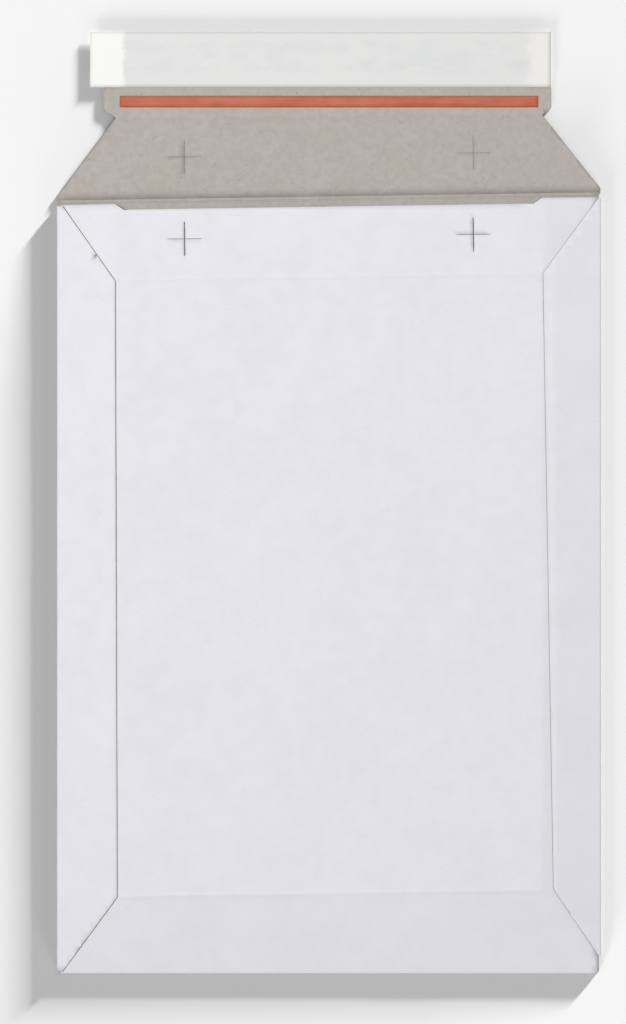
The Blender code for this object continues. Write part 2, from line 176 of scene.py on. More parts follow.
class Shaping:
    """A Geometry Nodes tree with named inputs, used as often as a piece needs it."""

    def __init__(self, name: str, inputs: dict[str, float]) -> None:
        """Starts a tree with a geometry input and named number inputs.

        Args:
            name: The tree's name.
            inputs: Each number input's name and default.
        """
        self.tree = bpy.data.node_groups.new(name, "GeometryNodeTree")
        face = self.tree.interface
        face.new_socket("Geometry", in_out="INPUT", socket_type="NodeSocketGeometry")
        face.new_socket("Geometry", in_out="OUTPUT", socket_type="NodeSocketGeometry")
        self.sockets = {}
        for label, default in inputs.items():
            socket = face.new_socket(label, in_out="INPUT", socket_type="NodeSocketFloat")
            socket.default_value = default
            self.sockets[label] = socket.identifier
        self.sockets["Material"] = face.new_socket(
            "Material", in_out="INPUT", socket_type="NodeSocketMaterial"
        ).identifier
        self.entry = self.tree.nodes.new("NodeGroupInput")

    def node(self, kind: str, **sockets: "Field | float") -> bpy.types.Node:
        """Adds a node and sets or links its named inputs."""
        node = self.tree.nodes.new(kind)
        for label, value in sockets.items():
            plug(self.tree, value, node.inputs[label.replace("_", " ").title()])
        return node

    def given(self, label: str) -> Field:
        """One of the tree's named inputs."""
        return Field(self.tree, self.entry.outputs[label])

    def named(self, attribute: str) -> Field:
        """A float attribute of the mesh."""
        node = self.tree.nodes.new("GeometryNodeInputNamedAttribute")
        node.inputs["Name"].default_value = attribute
        return Field(self.tree, node.outputs["Attribute"])

    def place(self) -> tuple[Field, Field, Field]:
        """The x, y and z of each point."""
        position = self.tree.nodes.new("GeometryNodeInputPosition")
        parts = self.tree.nodes.new("ShaderNodeSeparateXYZ")
        self.tree.links.new(position.outputs[0], parts.inputs[0])
        return tuple(Field(self.tree, output) for output in parts.outputs)

    def close(self, geometry: bpy.types.NodeSocket) -> None:
        """Ends the tree with Realize Instances and Set Material.

        Args:
            geometry: The output socket that holds the finished shape.
        """
        real = self.tree.nodes.new("GeometryNodeRealizeInstances")
        paint = self.tree.nodes.new("GeometryNodeSetMaterial")
        leave = self.tree.nodes.new("NodeGroupOutput")
        self.tree.links.new(geometry, real.inputs[0])
        self.tree.links.new(real.outputs[0], paint.inputs["Geometry"])
        self.tree.links.new(self.entry.outputs["Material"], paint.inputs["Material"])
        self.tree.links.new(paint.outputs[0], leave.inputs[0])

    def lift(self, height: Field) -> None:
        """Raises each point by a height and closes the tree.

        Args:
            height: How far each point goes up.
        """
        offset = self.node("ShaderNodeCombineXYZ", z=height)
        move = self.tree.nodes.new("GeometryNodeSetPosition")
        self.tree.links.new(self.entry.outputs["Geometry"], move.inputs["Geometry"])
        self.tree.links.new(offset.outputs[0], move.inputs["Offset"])
        self.close(move.outputs[0])

    def on(
        self, obj: bpy.types.Object, material: bpy.types.Material, **values: float
    ) -> None:
        """Puts the tree on an object.

        Args:
            obj: The object to shape.
            material: The material that the tree sets.
            values: The named inputs, with underscores for spaces.
        """
        modifier = obj.modifiers.new(self.tree.name, "NODES")
        modifier.node_group = self.tree
        modifier[self.sockets["Material"]] = material
        for label, value in values.items():
            modifier[self.sockets[label.replace("_", " ").capitalize()]] = float(value)


def panel_rise() -> Shaping:
    """The tree that raises a panel between four sloping strips."""
    tree = Shaping(
        "panel_rise",
        {
            "Rise": 0.0,
            "Mouth share": 1.0,
            "Side": 0.1,
            "Left crease": -0.1,
            "Right crease": 0.1,
            "Bend": -0.1,
            "Bottom crease": -0.1,
            "Top crease": 0.1,
            "Top strip": 0.03,
            "Lean": 0.0,
            "Rounding": 0.02,
        },
    )
    x, y, _ = tree.place()
    side, bend, slope = tree.given("Side"), tree.given("Bend"), x * tree.given("Lean")
    left = (x + side) / (tree.given("Left crease") + side)
    right = (side - x) / (side - tree.given("Right crease"))
    bottom = (y - bend) / (tree.given("Bottom crease") + slope - bend)
    above = (y - tree.given("Top crease") - slope) / tree.given("Top strip")
    top = (above * (tree.given("Mouth share") - 1.0)) + 1.0
    share = left.math("SMOOTH_MIN", right, tree.given("Rounding"))
    for other in (bottom, top):
        share = share.math("SMOOTH_MIN", other, tree.given("Rounding"))
    share = share.math("SMOOTH_MIN", 1.0, tree.given("Rounding")).math("MAXIMUM", 0.0)
    tree.lift(share * tree.given("Rise") * tree.named("lifted"))
    return tree


def crease_bead() -> Shaping:
    """The tree that raises a rounded bead along a leaning line."""
    tree = Shaping(
        "crease_bead",
        {"Line": 0.0, "Lean": 0.0, "Height": 0.0001, "Width": 0.001, "Left": -0.1, "Right": 0.1},
    )
    x, y, _ = tree.place()
    away = (y - tree.given("Line") - x * tree.given("Lean")) / tree.given("Width")
    hump = (away * away).flipped().math("MAXIMUM", 0.0)
    ends = (x - tree.given("Left")) * (tree.given("Right") - x) * 2000.0
    hump = hump * hump * ends.ramp(0.0, 1.0)
    tree.lift(hump * tree.given("Height") * tree.named("lifted"))
    return tree


def board_waves() -> Shaping:
    """The tree that makes flat board slightly uneven."""
    tree = Shaping("board_waves", {"Height": 0.0001, "Across": 0.06, "Seed": 1.0})
    x, y, _ = tree.place()
    flat = tree.node("ShaderNodeCombineXYZ", x=x, y=y)
    noise = tree.tree.nodes.new("ShaderNodeTexNoise")
    noise.noise_dimensions = "4D"
    tree.tree.links.new(flat.outputs[0], noise.inputs["Vector"])
    plug(tree.tree, tree.given("Seed"), noise.inputs["W"])
    plug(tree.tree, tree.given("Across").math("POWER", -1.0), noise.inputs["Scale"])
    noise.inputs["Detail"].default_value = 1.0
    height = (Field(tree.tree, noise.outputs[0]) - 0.5) * 2.0 * tree.given("Height")
    tree.lift(height * tree.named("waved"))
    return tree


def fleck_scatter() -> Shaping:
    """The tree that strews flat flecks over the upward faces of a board."""
    tree = Shaping(
        "fleck_scatter",
        {"Density": 1000.0, "Seed": 1.0, "Length": 0.001, "Width": 0.0002, "Height": 0.00003},
    )
    normal = tree.tree.nodes.new("GeometryNodeInputNormal")
    parts = tree.tree.nodes.new("ShaderNodeSeparateXYZ")
    tree.tree.links.new(normal.outputs[0], parts.inputs[0])
    upward = Field(tree.tree, parts.outputs["Z"]).math("GREATER_THAN", 0.95)
    strewn = tree.tree.nodes.new("GeometryNodeDistributePointsOnFaces")
    tree.tree.links.new(tree.entry.outputs["Geometry"], strewn.inputs["Mesh"])
    plug(tree.tree, upward, strewn.inputs["Selection"])
    plug(tree.tree, tree.given("Density"), strewn.inputs["Density"])
    plug(tree.tree, tree.given("Seed"), strewn.inputs["Seed"])
    fleck = tree.tree.nodes.new("GeometryNodeMeshUVSphere")
    fleck.inputs["Segments"].default_value = 7
    fleck.inputs["Rings"].default_value = 4
    fleck.inputs["Radius"].default_value = 0.5
    size = tree.tree.nodes.new("FunctionNodeRandomValue")
    size.data_type = "FLOAT"
    size.inputs[2].default_value = 0.35
    size.inputs[3].default_value = 1.0
    turn = tree.tree.nodes.new("FunctionNodeRandomValue")
    turn.data_type = "FLOAT"
    turn.inputs[2].default_value = 0.0
    turn.inputs[3].default_value = pi
    turn.inputs["Seed"].default_value = 5
    amount = Field(tree.tree, size.outputs[1])
    scale = tree.node(
        "ShaderNodeCombineXYZ",
        x=tree.given("Length") * amount,
        y=tree.given("Width") * amount,
        z=tree.given("Height"),
    )
    angle = tree.node("ShaderNodeCombineXYZ", z=Field(tree.tree, turn.outputs[1]))
    laid = tree.tree.nodes.new("GeometryNodeInstanceOnPoints")
    tree.tree.links.new(strewn.outputs["Points"], laid.inputs["Points"])
    tree.tree.links.new(fleck.outputs["Mesh"], laid.inputs["Instance"])
    tree.tree.links.new(angle.outputs[0], laid.inputs["Rotation"])
    tree.tree.links.new(scale.outputs[0], laid.inputs["Scale"])
    tree.close(laid.outputs[0])
    return tree


# Finishes


class Paint:
    """A material's node tree while a finish is being mixed."""

    def __init__(self, name: str) -> None:
        """Starts a Principled material on Object coordinates.

        Args:
            name: The material's name.
        """
        self.material = bpy.data.materials.new(name)
        self.material.use_nodes = True
        self.tree = self.material.node_tree
        self.shader = self.tree.nodes["Principled BSDF"]
        self.coordinates = self.tree.nodes.new("ShaderNodeTexCoord")

    def place(self) -> tuple[Field, Field, Field]:
        """The x, y and z of the point on its piece."""
        parts = self.tree.nodes.new("ShaderNodeSeparateXYZ")
        self.tree.links.new(self.coordinates.outputs["Object"], parts.inputs[0])
        return tuple(Field(self.tree, output) for output in parts.outputs)

    def noise(
        self,
        size: float,
        detail: float = 2.0,
        stretch: tuple[float, float, float] = (1, 1, 1),
        shift: float = 0.0,
        distortion: float = 0.0,
    ) -> Field:
        """Cloudy noise from about 0.25 to 0.75.

        Args:
            size: The clouds' size in metres.
            detail: How many finer layers it has.
            stretch: How many times longer it is along each axis.
            shift: Moves the pattern, so that two noises differ.
            distortion: How much it curls.

        Returns:
            The noise.
        """
        mapping = self.tree.nodes.new("ShaderNodeMapping")
        mapping.inputs["Scale"].default_value = [1 / s for s in stretch]
        mapping.inputs["Location"].default_value = (shift, shift * 1.7, shift * 0.6)
        self.tree.links.new(self.coordinates.outputs["Object"], mapping.inputs["Vector"])
        node = self.tree.nodes.new("ShaderNodeTexNoise")
        node.inputs["Scale"].default_value = 1 / size
        node.inputs["Detail"].default_value = detail
        node.inputs["Distortion"].default_value = distortion
        self.tree.links.new(mapping.outputs[0], node.inputs["Vector"])
        return Field(self.tree, node.outputs[0])

    def strands(self, size: float, width: float, shift: float) -> Field:
        """Thin curling strands, 1 on a strand and 0 beside it.

        Args:
            size: The distance between strands in metres.
            width: A strand's width as a share of the noise's range.
            shift: Moves the pattern.

        Returns:
            The strands.
        """
        near = (self.noise(size, 1.0, shift=shift, distortion=1.2) - 0.5).math("ABSOLUTE")
        gate = self.noise(size * 1.6, 0.0, shift=shift + 3.1).ramp(0.50, 0.62)
        return near.ramp(0.0, width).flipped() * gate

    def tinted(self, amount: Field, first: Sequence[float], second: Sequence[float]) -> Field:
        """Mixes two colours.

        Args:
            amount: How much of the second colour there is.
            first: The first colour in linear RGB, or a field of one.
            second: The second colour.

        Returns:
            The mixed colour.
        """
        node = self.tree.nodes.new("ShaderNodeMix")
        node.data_type = "RGBA"
        node.clamp_factor = True
        plug(self.tree, amount, node.inputs["Factor"])
        for socket, colour in ((node.inputs["A"], first), (node.inputs["B"], second)):
            for candidate in node.inputs:
                if candidate.type == "RGBA" and candidate.name == socket.name:
                    socket = candidate
            if isinstance(colour, Field):
                self.tree.links.new(colour.socket, socket)
            else:
                socket.default_value = (*colour, 1.0)
        return Field(self.tree, next(o for o in node.outputs if o.type == "RGBA"))

    def colour(self, value: Field) -> None:
        """Links the base colour."""
        self.tree.links.new(value.socket, self.shader.inputs["Base Color"])

    def rough(self, value: "Field | float") -> None:
        """Sets or links the roughness."""
        plug(self.tree, value, self.shader.inputs["Roughness"])

    def sheen_of(self, level: float) -> None:
        """Sets how much light the surface mirrors."""
        self.shader.inputs["Specular IOR Level"].default_value = level

    def bump(self, height: Field, depth: float) -> None:
        """Gives the surface a fine relief.

        Args:
            height: The relief, about 0 to 1.
            depth: Its depth in metres.
        """
        node = self.tree.nodes.new("ShaderNodeBump")
        node.inputs["Strength"].default_value = 1.0
        node.inputs["Distance"].default_value = depth
        self.tree.links.new(height.socket, node.inputs["Height"])
        self.tree.links.new(node.outputs["Normal"], self.shader.inputs["Normal"])


def linear(red: float, green: float, blue: float) -> tuple[float, ...]:
    """An sRGB colour of 0 to 255 as linear RGB of 0 to 1."""
    return tuple((v / 255 + 0.055) ** 2.4 / 1.055**2.4 for v in (red, green, blue))


@dataclass(frozen=True)
class WhiteBoard:
    """The blank's white outer face: matt clay coating over board, faintly cloudy."""

    base: tuple[float, ...] = linear(237.5, 236.5, 241.5)
    cloud: tuple[float, ...] = linear(233.5, 232.5, 237.5)
    fleck: tuple[float, ...] = linear(226, 225, 229)
    roughness: float = 0.62

    def make(self) -> bpy.types.Material:
        """Mixes the material."""
        paint = Paint("white_board")
        clouds = paint.noise(0.030, 3.0).ramp(0.32, 0.68)
        mottle = paint.noise(0.0075, 2.0, shift=4.0).ramp(0.35, 0.70)
        cover = clouds * 0.55 + mottle * 0.45
        colour = paint.tinted(cover, self.base, self.cloud)
        flecks = paint.noise(0.0011, 0.0, shift=8.0).ramp(0.72, 0.80) * 0.5
        paint.colour(paint.tinted(flecks, colour, self.fleck))
        paint.rough(mottle * 0.10 + (self.roughness - 0.05))
        paint.sheen_of(0.25)
        grain = paint.noise(0.0006, 2.0, shift=2.0) * 0.6 + paint.noise(0.004, 1.0) * 0.8
        paint.bump(grain, 0.000018)
        return paint.material


@dataclass(frozen=True)
class GreyBoard:
    """The blank's inner face: bare recycled board with flecks and fibres."""

    base: tuple[float, ...] = linear(189.5, 184.5, 179)
    warm: tuple[float, ...] = linear(186, 182, 172)
    dark: tuple[float, ...] = linear(178, 172.5, 167)
    fibre: tuple[float, ...] = linear(202, 198, 189)
    stain: tuple[float, ...] = linear(160, 153, 142)
    roughness: float = 0.9

    def make(self) -> bpy.types.Material:
        """Mixes the material."""
        paint = Paint("grey_board")
        clouds = paint.noise(0.018, 3.0).ramp(0.35, 0.70)
        mottle = paint.noise(0.0028, 3.0, shift=5.0).ramp(0.36, 0.68)
        colour = paint.tinted(clouds * 0.8, self.base, self.warm)
        colour = paint.tinted(mottle * 0.55, colour, self.dark)
        pale = paint.strands(0.0035, 0.022, 1.0)
        colour = paint.tinted(pale * 0.55, colour, self.fibre)
        dim = paint.strands(0.0050, 0.018, 7.0)
        colour = paint.tinted(dim * 0.45, colour, self.stain)
        grain = paint.noise(0.0007, 2.0, shift=9.0)
        colour = paint.tinted(grain.ramp(0.60, 0.74) * 0.35, colour, self.stain)
        paint.colour(colour)
        paint.rough(self.roughness)
        paint.sheen_of(0.15)
        paint.bump(grain + pale * 0.5 + mottle * 0.6, 0.00004)
        return paint.material


@dataclass(frozen=True)
class CutEdge:
    """The board's cut edge: grey core between its two faces, darker where it was sheared."""

    core: tuple[float, ...] = linear(158, 152, 146)
    crushed: tuple[float, ...] = linear(128, 122, 116)

    def make(self) -> bpy.types.Material:
        """Mixes the material."""
        paint = Paint("cut_edge")
        layers = paint.noise(0.0004, 2.0, stretch=(8, 8, 0.4)).ramp(0.35, 0.65)
        paint.colour(paint.tinted(layers, self.core, self.crushed))
        paint.rough(0.95)
        paint.bump(layers, 0.00003)
        return paint.material


@dataclass(frozen=True)
class Fleck:
    """A bit of ink or bark in the recycled board."""

    name: str
    first: tuple[float, ...]
    second: tuple[float, ...]

    def make(self) -> bpy.types.Material:
        """Mixes the material."""
        paint = Paint(self.name)
        vary = paint.noise(0.006, 0.0, shift=6.0).ramp(0.4, 0.6)
        paint.colour(paint.tinted(vary, self.first, self.second))
        paint.rough(0.85)
        return paint.material


@dataclass(frozen=True)
class TearFilm:
    """The red tear tape: thin film with lengthwise threads, stuck on grey board."""

    base: tuple[float, ...] = linear(200, 112, 86)
    deep: tuple[float, ...] = linear(189, 100, 73)
    pale: tuple[float, ...] = linear(206, 122, 96)

    def make(self) -> bpy.types.Material:
        """Mixes the material."""
        paint = Paint("tear_film")
        blotch = paint.noise(0.005, 3.0, stretch=(2, 1, 1)).ramp(0.35, 0.68)
        threads = paint.noise(0.0006, 1.0, stretch=(60, 1, 1), shift=2.0).ramp(0.35, 0.65)
        colour = paint.tinted(blotch, self.base, self.deep)
        paint.colour(paint.tinted(threads * 0.5, colour, self.pale))
        paint.rough(blotch * 0.1 + 0.45)
        paint.sheen_of(0.15)
        paint.bump(threads + blotch * 0.5, 0.00003)
        return paint.material


@dataclass(frozen=True)
class ReleasePaper:
    """The white release paper, which shows the board and adhesive under it; its bare left end is
    painted lighter than its right end, a painted highlight where the light falls from the upper
    left.
    """

    left_end_painted_lit: tuple[float, ...] = linear(250, 250, 246)
    right_end_painted_dim: tuple[float, ...] = linear(242, 240, 234)
    over_board: tuple[float, ...] = linear(230, 230, 229)
    over_glue: tuple[float, ...] = linear(223, 224, 224)
    board_left: float = -0.0942
    board_right: float = 0.0910
    glue_low: float = 0.1975
    glue_high: float = 0.2125

    def make(self) -> bpy.types.Material:
        """Mixes the material."""
        paint = Paint("release_paper")
        x, y, _ = paint.place()
        wander = (paint.noise(0.004, 2.0) - 0.5) * 0.004
        x, y = x + wander, y + wander * 0.8
        left = x.ramp(self.board_left - 0.0012, self.board_left + 0.0012)
        right = x.ramp(self.board_right - 0.003, self.board_right + 0.004)
        backed = left * right.flipped()
        # Painted light: the bare paper's left end is painted lighter than its right end, where the
        # light falls from the upper left.
        ends = paint.tinted(x.ramp(-0.01, 0.01), self.left_end_painted_lit, self.right_end_painted_dim)
        colour = paint.tinted(backed, ends, self.over_board)
        low = y.ramp(self.glue_low - 0.0015, self.glue_low + 0.0020)
        high = y.ramp(self.glue_high - 0.0015, self.glue_high + 0.0015)
        blotch = paint.noise(0.0070, 3.0, stretch=(1.6, 1, 1), shift=3.0).ramp(0.38, 0.62)
        glue = low * high.flipped() * backed * blotch
        paint.colour(paint.tinted(glue, colour, self.over_glue))
        paint.rough(glue * -0.08 + 0.5)
        paint.sheen_of(0.25)
        fibres = paint.noise(0.0012, 3.0, stretch=(3, 1, 1), shift=1.0)
        paint.bump(fibres + blotch * 0.8, 0.00003)
        return paint.material


@dataclass(frozen=True)
class Adhesive:
    """The self-seal adhesive under the release paper."""

    base: tuple[float, ...] = linear(214, 212, 204)
    thin: tuple[float, ...] = linear(196, 193, 184)

    def make(self) -> bpy.types.Material:
        """Mixes the material."""
        paint = Paint("adhesive")
        thin = paint.noise(0.006, 3.0, stretch=(2, 1, 1)).ramp(0.4, 0.65)
        paint.colour(paint.tinted(thin, self.base, self.thin))
        paint.rough(0.28)
        paint.bump(thin, 0.00003)
        return paint.material


# Board and paper


@dataclass(frozen=True)
class Format:
    """Sizes in metres that the mailer's pieces share."""

    width: float = 0.2500
    board: float = 0.0006
    crease_y: float = frame["joints"][0]["pos_m"][1]
    lean: float = atan2(frame["joints"][0]["axis"][1], frame["joints"][0]["axis"][0])
    lip_lean: float = radians(0.45)
    bend_half: float = 0.0006
    pitch: float = 0.004
    cross_spacing: float = 0.1325
    cross_arm: float = 0.0078

    def leaned(self, y: float, x: float) -> float:
        """The height at x of a crease that passes the centre line at y."""
        return y + x * tan(self.lean)


def inside(point: Vector, outline: Sequence[Vector]) -> bool:
    """Whether a point lies in an outline.

    Args:
        point: The point.
        outline: The outline's corners in order.

    Returns:
        True where it does.
    """
    crossings = 0
    for a, b in zip(outline, [*outline[1:], outline[0]]):
        if (a[1] > point.y) != (b[1] > point.y):
            crossings += point.x < a[0] + (point.y - a[1]) * (b[0] - a[0]) / (b[1] - a[1])
    return crossings % 2 == 1


def rounded(corners: Sequence[tuple[float, float, float]], steps: int = 6) -> list[Vector]:
    """A closed outline through corners, with arcs.

    Args:
        corners: Each corner's x, y and radius.
        steps: How many edges an arc has.

    Returns:
        The outline's points.
    """
    points = []
    for i, (x, y, radius) in enumerate(corners):
        here = Vector((x, y))
        before = (Vector(corners[i - 1][:2]) - here).normalized()
        after = (Vector(corners[(i + 1) % len(corners)][:2]) - here).normalized()
        if not radius:
            points.append(here)
            continue
        half = acos(max(-1.0, min(1.0, before.dot(after)))) / 2
        middle = here + (before + after).normalized() * radius / sin(half)
        first = here + before * radius / tan(half) - middle
        last = here + after * radius / tan(half) - middle
        start = atan2(first.y, first.x)
        turn = atan2(last.y, last.x) - start
        turn -= 2 * pi * round(turn / (2 * pi))
        for k in range(steps + 1):
            angle = start + turn * k / steps
            points.append(middle + Vector((cos(angle), sin(angle))) * radius)
    return points


class Sheet:
    """The middle surface of board while it is cut and folded."""

    def __init__(self) -> None:
        """Starts an empty sheet."""
        self.bm = bmesh.new()
        self.kind = self.bm.faces.layers.int.new("panel")

    def panel(
        self, panel: Panel, across: float, along: float, pitch: float,
        place: Callable[[float, float], tuple[float, float, float]],
    ) -> list[bmesh.types.BMVert]:
        """Adds a grid of faces.

        Args:
            panel: What the faces are.
            across: The panel's rough width.
            along: Its rough length.
            pitch: The faces' size.
            place: Gives a point for two shares from 0 to 1.

        Returns:
            The new points.
        """
        made = bmesh.ops.create_grid(
            self.bm, x_segments=ceil(across / pitch), y_segments=ceil(along / pitch), size=0.5
        )["verts"]
        for vert in made:
            vert.co = place(vert.co.x + 0.5, vert.co.y + 0.5)
        for face in {f for v in made for f in v.link_faces}:
            face[self.kind] = panel.value
        return made

    def faces(self, *panels: Panel) -> list[bmesh.types.BMFace]:
        """The faces of some panels."""
        wanted = {p.value for p in panels}
        return [f for f in self.bm.faces if f[self.kind] in wanted]

    def rim(self, test: Callable[[Vector], bool]) -> list[bmesh.types.BMEdge]:
        """The open edges whose two ends pass a test."""
        return [e for e in self.bm.edges if e.is_boundary and all(test(v.co) for v in e.verts)]

    def grow(
        self, chain: list[bmesh.types.BMEdge], panel: Panel, steps: Iterable[Matrix]
    ) -> list[bmesh.types.BMEdge]:
        """Extrudes a chain of edges step by step.

        Args:
            chain: The edges to grow from.
            panel: What the new faces are.
            steps: How each row lies from the one before.

        Returns:
            The last row's edges.
        """
        for step in steps:
            made = bmesh.ops.extrude_edge_only(self.bm, edges=chain)["geom"]
            verts = {g for g in made if isinstance(g, bmesh.types.BMVert)}
            bmesh.ops.transform(self.bm, matrix=step, verts=list(verts))
            for face in (g for g in made if isinstance(g, bmesh.types.BMFace)):
                face[self.kind] = panel.value
            edges = (g for g in made if isinstance(g, bmesh.types.BMEdge))
            chain = [e for e in edges if set(e.verts) <= verts]
        return chain

    def score(self, start: Sequence[float], end: Sequence[float], *panels: Panel) -> None:
        """Cuts a line into some panels, where a segment crosses them.

        Args:
            start: The segment's first point.
            end: Its last point.
            panels: The panels that are cut.
        """
        low = [min(a, b) - 1e-6 for a, b in zip(start[:2], end[:2])]
        high = [max(a, b) + 1e-6 for a, b in zip(start[:2], end[:2])]
        near = []
        for face in self.faces(*panels):
            xs = [v.co.x for v in face.verts]
            ys = [v.co.y for v in face.verts]
            if min(xs) < high[0] and max(xs) > low[0] and min(ys) < high[1] and max(ys) > low[1]:
                near.append(face)
        self._bisect(near, start, end)

    def trim(self, start: Sequence[float], end: Sequence[float], *panels: Panel) -> None:
        """Cuts some panels along a line and drops what is on its right.

        Args:
            start: A point on the line.
            end: A further point on it.
            panels: The panels that are cut.
        """
        self._bisect(self.faces(*panels), start, end)
        normal = Vector((end[1] - start[1], start[0] - end[0]))
        gone = []
        for face in self.faces(*panels):
            centre = face.calc_center_median()
            if (centre.xy - Vector(start[:2])).dot(normal) > 0:
                gone.append(face)
        bmesh.ops.delete(self.bm, geom=gone, context="FACES")

    def _bisect(
        self, faces: list[bmesh.types.BMFace], start: Sequence[float], end: Sequence[float]
    ) -> None:
        """Cuts faces along the upright plane through two points."""
        if not faces:
            return
        edges = {e for f in faces for e in f.edges}
        verts = {v for f in faces for v in f.verts}
        normal = Vector((end[1] - start[1], start[0] - end[0], 0)).normalized()
        bmesh.ops.bisect_plane(
            self.bm,
            geom=[*faces, *edges, *verts],
            plane_co=(start[0], start[1], 0),
            plane_no=normal,
            dist=1e-6,
        )

    def punch(self, outline: Sequence[Vector], keep: bool, *panels: Panel) -> None:
        """Cuts an outline into some panels and takes out what is in it, or what is round it.

        Args:
            outline: The outline's corners in order.
            keep: Whether the inside stays, and not the outside.
            panels: The panels that are cut.
        """
        for a, b in zip(outline, [*outline[1:], outline[0]]):
            self.score(a, b, *panels)
        gone = [
            f for f in self.faces(*panels) if inside(f.calc_center_median(), outline) != keep
        ]
        bmesh.ops.delete(self.bm, geom=gone, context="FACES")

    def cross(
        self,
        x: float,
        y: float,
        arm: float,
        slits: tuple[float, float],
        lean: float,
        panel: Panel,
    ) -> None:
        """Punches a cross cut.

        Args:
            x: The cross's middle.
            y: The same upwards.
            arm: Half the length of a slit.
            slits: How far the upright and the level slit stand open.
            lean: The cross's turn.
            panel: The panel that is cut.
        """
        turn = Matrix.Rotation(lean, 2)
        for wide, tall in ((slits[0] / 2, arm), (arm, slits[1] / 2)):
            corners = [(-wide, -tall), (wide, -tall), (wide, tall), (-wide, tall)]
            outline = [Vector((x, y)) + turn @ Vector(c) for c in corners]
            self.punch(outline, False, panel)

    def finished(
        self, name: str, lifted: Iterable[Panel], lowest_faces_down: bool = True
    ) -> bpy.types.Object:
        """Turns the sheet into an object whose points know what lifts them.

        Args:
            name: The object's name.
            lifted: The panels that creases and rises move.
            lowest_faces_down: Whether the sheet's outer face is under its lowest panel.

        Returns:
            The object.
        """
        values = {p.value for p in lifted}
        lift = self.bm.verts.layers.float.new("lifted")
        wave = self.bm.verts.layers.float.new("waved")
        for vert in self.bm.verts:
            vert[lift] = float(any(f[self.kind] in values for f in vert.link_faces))
            vert[wave] = 0.0 if vert.is_boundary or not vert[lift] else 1.0
        bmesh.ops.recalc_face_normals(self.bm, faces=self.bm.faces)
        lowest = min(
            self.bm.faces,
            key=lambda f: (round(f.calc_center_median().z, 6), -f.calc_area()),
        )
        if (lowest.normal.z < 0) != lowest_faces_down:
            bmesh.ops.reverse_faces(self.bm, faces=self.bm.faces)
        mesh = bpy.data.meshes.new(name)
        self.bm.to_mesh(mesh)
        self.bm.free()
        obj = bpy.data.objects.new(name, mesh)
        bpy.context.scene.collection.objects.link(obj)
        return obj


def settle(obj: bpy.types.Object) -> None:
    """Makes an object's modifiers part of its mesh.

    Args:
        obj: The object.
    """
    depsgraph = bpy.context.evaluated_depsgraph_get()
    mesh = bpy.data.meshes.new_from_object(obj.evaluated_get(depsgraph))
    obj.modifiers.clear()
    old = obj.data
    obj.data = mesh
    bpy.data.meshes.remove(old)
    mesh.name = obj.name


def thicken(obj: bpy.types.Object, thickness: float, plies: Sequence[bpy.types.Material]) -> None:
    """Gives a sheet its thickness, with a material for each face of the board.

    Args:
        obj: The sheet.
        thickness: The board's thickness.
        plies: The materials in the order of Ply.
    """
    obj.data.materials.clear()
    for material in plies:
        obj.data.materials.append(material)
    board = obj.modifiers.new("board", "SOLIDIFY")
    board.thickness = thickness
    board.offset = 0
    board.use_even_offset = True
    board.use_quality_normals = True
    board.material_offset = Ply.INSIDE.value
    board.material_offset_rim = Ply.EDGE.value
    settle(obj)
    for polygon in obj.data.polygons:
        polygon.use_smooth = polygon.material_index != Ply.EDGE.value


